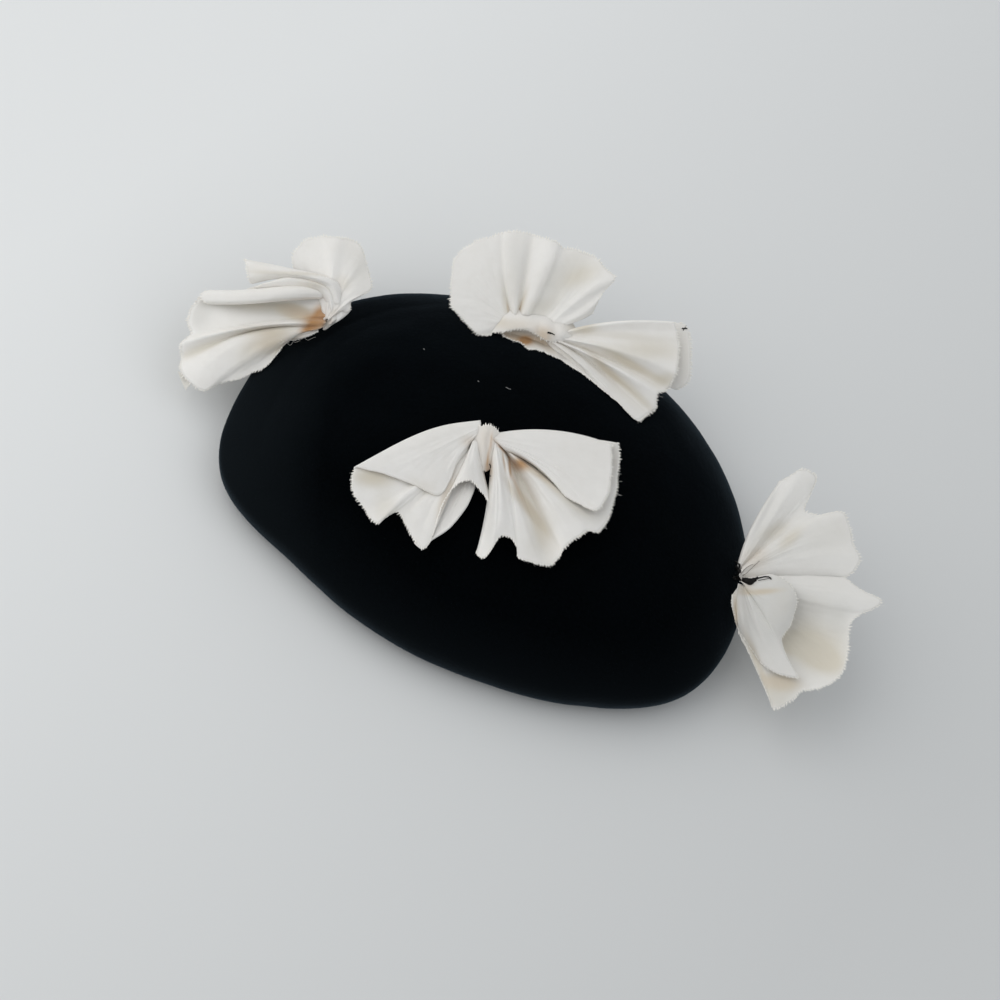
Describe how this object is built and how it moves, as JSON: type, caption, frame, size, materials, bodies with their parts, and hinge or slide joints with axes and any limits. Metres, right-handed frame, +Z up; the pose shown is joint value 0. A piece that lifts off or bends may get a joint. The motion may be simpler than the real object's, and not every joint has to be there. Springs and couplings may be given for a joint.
{
  "type": "pillbox hat",
  "caption": "Shallow oval tilt hat in moulded black felt with a rounded shoulder and a turned-under edge, trimmed with gathered cloth bows with raw edges.",
  "frame": {"origin": "middle of the bounding box, on the surface that the hat rests on", "axes": "+X along the hat's length, towards its fuller end; +Y towards the back; +Z up through the crown"},
  "size_m": [0.3564, 0.212, 0.0821],
  "materials": {
    "black_felt": "short velvet nap",
    "cream_silk": "crisp plain-woven silk with frayed raw edges"
  },
  "bodies": {
    "root": {"felt_shell": "black_felt", "bow_center": "cream_silk", "bow_left": "cream_silk", "bow_back": "cream_silk", "bow_right": "cream_silk"}
  },
  "joints": []
}
